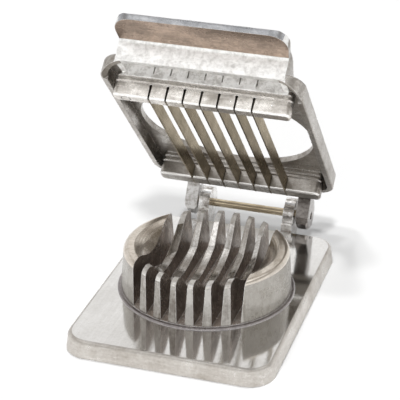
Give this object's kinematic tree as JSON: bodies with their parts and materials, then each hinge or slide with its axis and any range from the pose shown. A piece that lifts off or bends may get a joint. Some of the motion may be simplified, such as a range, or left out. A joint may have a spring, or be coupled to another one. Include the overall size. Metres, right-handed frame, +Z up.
{
  "type": "egg slicer",
  "caption": "Cast metal egg slicer: a round slotted cup stands on a flat base, and a hinged lid brings parallel flat blades down through the cup.",
  "frame": {"origin": "on the ground at the middle of the base casting's rectangular footprint", "axes": "+Z up, +Y towards the hinge at the back, +X to the right seen from the finger lip at the front; -X to +X runs along the hinge pin. Stored with the lid part open, as it is used to lay an egg in."},
  "size_m": [0.084, 0.13, 0.1255],
  "materials": {
    "plate_metal": "cast, polished on the plate and satin on the cup and edges",
    "lid_metal": "cast, tumbled satin with darker corners",
    "pin_metal": "drawn rod, slightly tarnished",
    "wire_steel": "plain wire",
    "blade_steel": "rolled stainless strip, satin"
  },
  "bodies": {
    "base": {"base_casting": "plate_metal", "hinge_pin": "pin_metal"},
    "lid": {"lid_casting": "lid_metal", "front_blade_wire": "wire_steel", "rear_blade_wire": "wire_steel", "blade_1": "blade_steel", "blade_2": "blade_steel", "blade_3": "blade_steel", "blade_4": "blade_steel", "blade_5": "blade_steel", "blade_6": "blade_steel", "blade_7": "blade_steel"}
  },
  "joints": [
    {"name": "lid_hinge", "type": "hinge", "parent": "base", "child": "lid", "pos_m": [0, 0.0654, 0.0118], "axis": [-1, 0, 0], "range_deg": [-47.4, 64]}
  ]
}
